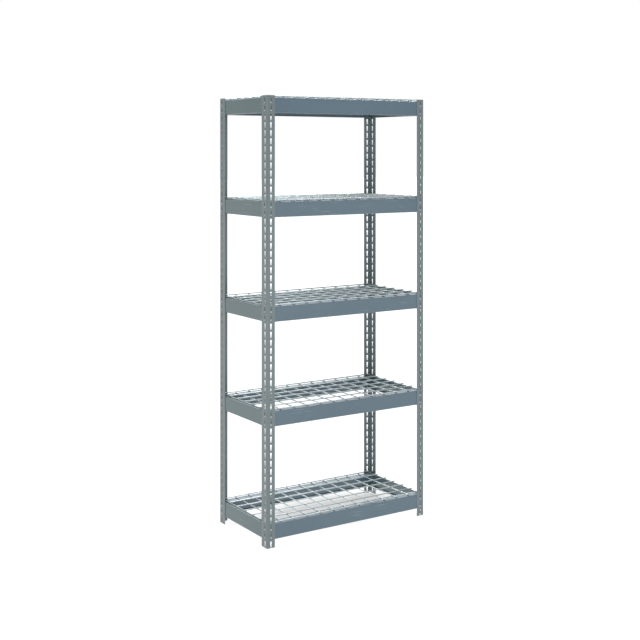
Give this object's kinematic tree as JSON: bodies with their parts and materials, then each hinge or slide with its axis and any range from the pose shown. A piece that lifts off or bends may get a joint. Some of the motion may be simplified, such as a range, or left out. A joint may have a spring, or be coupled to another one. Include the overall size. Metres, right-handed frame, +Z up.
{
  "type": "boltless steel shelving",
  "caption": "Free-standing boltless shelving: slotted angle posts carrying riveted beams and loose galvanised wire decks.",
  "frame": {"origin": "on the floor, under the middle of the unit's width and depth", "axes": "+X to the right along the width seen from the front, +Y from the front to the back, +Z up the posts"},
  "size_m": [0.9382, 0.4762, 2.14],
  "materials": {
    "post_enamel": "satin grey-blue baked enamel",
    "beam_enamel": "satin grey-blue baked enamel",
    "side_beam_enamel": "satin grey-blue baked enamel",
    "rivet_zinc": "bright zinc plate",
    "wire_zinc": "galvanised wire"
  },
  "bodies": {
    "posts": {"post_front_left": "post_enamel", "post_front_right": "post_enamel", "post_rear_left": "post_enamel", "post_rear_right": "post_enamel"},
    "beam_front_1": {"beam_front_1": "beam_enamel", "rivets_front_1": "rivet_zinc"},
    "beam_rear_1": {"beam_rear_1": "beam_enamel", "rivets_rear_1": "rivet_zinc"},
    "beam_left_1": {"beam_left_1": "side_beam_enamel", "rivets_left_1": "rivet_zinc"},
    "beam_right_1": {"beam_right_1": "side_beam_enamel", "rivets_right_1": "rivet_zinc"},
    "deck_1": {"deck_1_cross_wires": "wire_zinc", "deck_1_long_wires": "wire_zinc"},
    "beam_front_2": {"beam_front_2": "beam_enamel", "rivets_front_2": "rivet_zinc"},
    "beam_rear_2": {"beam_rear_2": "beam_enamel", "rivets_rear_2": "rivet_zinc"},
    "beam_left_2": {"beam_left_2": "side_beam_enamel", "rivets_left_2": "rivet_zinc"},
    "beam_right_2": {"beam_right_2": "side_beam_enamel", "rivets_right_2": "rivet_zinc"},
    "deck_2": {"deck_2_cross_wires": "wire_zinc", "deck_2_long_wires": "wire_zinc"},
    "beam_front_3": {"beam_front_3": "beam_enamel", "rivets_front_3": "rivet_zinc"},
    "beam_rear_3": {"beam_rear_3": "beam_enamel", "rivets_rear_3": "rivet_zinc"},
    "beam_left_3": {"beam_left_3": "side_beam_enamel", "rivets_left_3": "rivet_zinc"},
    "beam_right_3": {"beam_right_3": "side_beam_enamel", "rivets_right_3": "rivet_zinc"},
    "deck_3": {"deck_3_cross_wires": "wire_zinc", "deck_3_long_wires": "wire_zinc"},
    "beam_front_4": {"beam_front_4": "beam_enamel", "rivets_front_4": "rivet_zinc"},
    "beam_rear_4": {"beam_rear_4": "beam_enamel", "rivets_rear_4": "rivet_zinc"},
    "beam_left_4": {"beam_left_4": "side_beam_enamel", "rivets_left_4": "rivet_zinc"},
    "beam_right_4": {"beam_right_4": "side_beam_enamel", "rivets_right_4": "rivet_zinc"},
    "deck_4": {"deck_4_cross_wires": "wire_zinc", "deck_4_long_wires": "wire_zinc"},
    "beam_front_5": {"beam_front_5": "beam_enamel", "rivets_front_5": "rivet_zinc"},
    "beam_rear_5": {"beam_rear_5": "beam_enamel", "rivets_rear_5": "rivet_zinc"},
    "beam_left_5": {"beam_left_5": "side_beam_enamel", "rivets_left_5": "rivet_zinc"},
    "beam_right_5": {"beam_right_5": "side_beam_enamel", "rivets_right_5": "rivet_zinc"},
    "deck_5": {"deck_5_cross_wires": "wire_zinc", "deck_5_long_wires": "wire_zinc"}
  },
  "joints": [
    {"name": "hook_front_1", "type": "slide", "parent": "posts", "child": "beam_front_1", "axis": [0, 0, 1], "range_m": [0, 0.0167]},
    {"name": "hook_rear_1", "type": "slide", "parent": "posts", "child": "beam_rear_1", "axis": [0, 0, 1], "range_m": [0, 0.0167]},
    {"name": "hook_left_1", "type": "slide", "parent": "posts", "child": "beam_left_1", "axis": [0, 0, 1], "range_m": [0, 0.0167]},
    {"name": "hook_right_1", "type": "slide", "parent": "posts", "child": "beam_right_1", "axis": [0, 0, 1], "range_m": [0, 0.0167]},
    {"name": "deck_lift_1", "type": "slide", "parent": "beam_front_1", "child": "deck_1", "axis": [0, 0, 1], "range_m": [0, 0.35]},
    {"name": "hook_front_2", "type": "slide", "parent": "posts", "child": "beam_front_2", "axis": [0, 0, 1], "range_m": [0, 0.0167]},
    {"name": "hook_rear_2", "type": "slide", "parent": "posts", "child": "beam_rear_2", "axis": [0, 0, 1], "range_m": [0, 0.0167]},
    {"name": "hook_left_2", "type": "slide", "parent": "posts", "child": "beam_left_2", "axis": [0, 0, 1], "range_m": [0, 0.0167]},
    {"name": "hook_right_2", "type": "slide", "parent": "posts", "child": "beam_right_2", "axis": [0, 0, 1], "range_m": [0, 0.0167]},
    {"name": "deck_lift_2", "type": "slide", "parent": "beam_front_2", "child": "deck_2", "axis": [0, 0, 1], "range_m": [0, 0.35]},
    {"name": "hook_front_3", "type": "slide", "parent": "posts", "child": "beam_front_3", "axis": [0, 0, 1], "range_m": [0, 0.0167]},
    {"name": "hook_rear_3", "type": "slide", "parent": "posts", "child": "beam_rear_3", "axis": [0, 0, 1], "range_m": [0, 0.0167]},
    {"name": "hook_left_3", "type": "slide", "parent": "posts", "child": "beam_left_3", "axis": [0, 0, 1], "range_m": [0, 0.0167]},
    {"name": "hook_right_3", "type": "slide", "parent": "posts", "child": "beam_right_3", "axis": [0, 0, 1], "range_m": [0, 0.0167]},
    {"name": "deck_lift_3", "type": "slide", "parent": "beam_front_3", "child": "deck_3", "axis": [0, 0, 1], "range_m": [0, 0.35]},
    {"name": "hook_front_4", "type": "slide", "parent": "posts", "child": "beam_front_4", "axis": [0, 0, 1], "range_m": [0, 0.0167]},
    {"name": "hook_rear_4", "type": "slide", "parent": "posts", "child": "beam_rear_4", "axis": [0, 0, 1], "range_m": [0, 0.0167]},
    {"name": "hook_left_4", "type": "slide", "parent": "posts", "child": "beam_left_4", "axis": [0, 0, 1], "range_m": [0, 0.0167]},
    {"name": "hook_right_4", "type": "slide", "parent": "posts", "child": "beam_right_4", "axis": [0, 0, 1], "range_m": [0, 0.0167]},
    {"name": "deck_lift_4", "type": "slide", "parent": "beam_front_4", "child": "deck_4", "axis": [0, 0, 1], "range_m": [0, 0.35]},
    {"name": "hook_front_5", "type": "slide", "parent": "posts", "child": "beam_front_5", "axis": [0, 0, 1], "range_m": [0, 0.0167]},
    {"name": "hook_rear_5", "type": "slide", "parent": "posts", "child": "beam_rear_5", "axis": [0, 0, 1], "range_m": [0, 0.0167]},
    {"name": "hook_left_5", "type": "slide", "parent": "posts", "child": "beam_left_5", "axis": [0, 0, 1], "range_m": [0, 0.0167]},
    {"name": "hook_right_5", "type": "slide", "parent": "posts", "child": "beam_right_5", "axis": [0, 0, 1], "range_m": [0, 0.0167]},
    {"name": "deck_lift_5", "type": "slide", "parent": "beam_front_5", "child": "deck_5", "axis": [0, 0, 1], "range_m": [0, 0.35]}
  ],
  "couplings": [
    {"joint": "hook_rear_1", "follows": "hook_front_1", "ratio": 1},
    {"joint": "hook_left_1", "follows": "hook_front_1", "ratio": 1},
    {"joint": "hook_right_1", "follows": "hook_front_1", "ratio": 1},
    {"joint": "hook_rear_2", "follows": "hook_front_2", "ratio": 1},
    {"joint": "hook_left_2", "follows": "hook_front_2", "ratio": 1},
    {"joint": "hook_right_2", "follows": "hook_front_2", "ratio": 1},
    {"joint": "hook_rear_3", "follows": "hook_front_3", "ratio": 1},
    {"joint": "hook_left_3", "follows": "hook_front_3", "ratio": 1},
    {"joint": "hook_right_3", "follows": "hook_front_3", "ratio": 1},
    {"joint": "hook_rear_4", "follows": "hook_front_4", "ratio": 1},
    {"joint": "hook_left_4", "follows": "hook_front_4", "ratio": 1},
    {"joint": "hook_right_4", "follows": "hook_front_4", "ratio": 1},
    {"joint": "hook_rear_5", "follows": "hook_front_5", "ratio": 1},
    {"joint": "hook_left_5", "follows": "hook_front_5", "ratio": 1},
    {"joint": "hook_right_5", "follows": "hook_front_5", "ratio": 1}
  ]
}
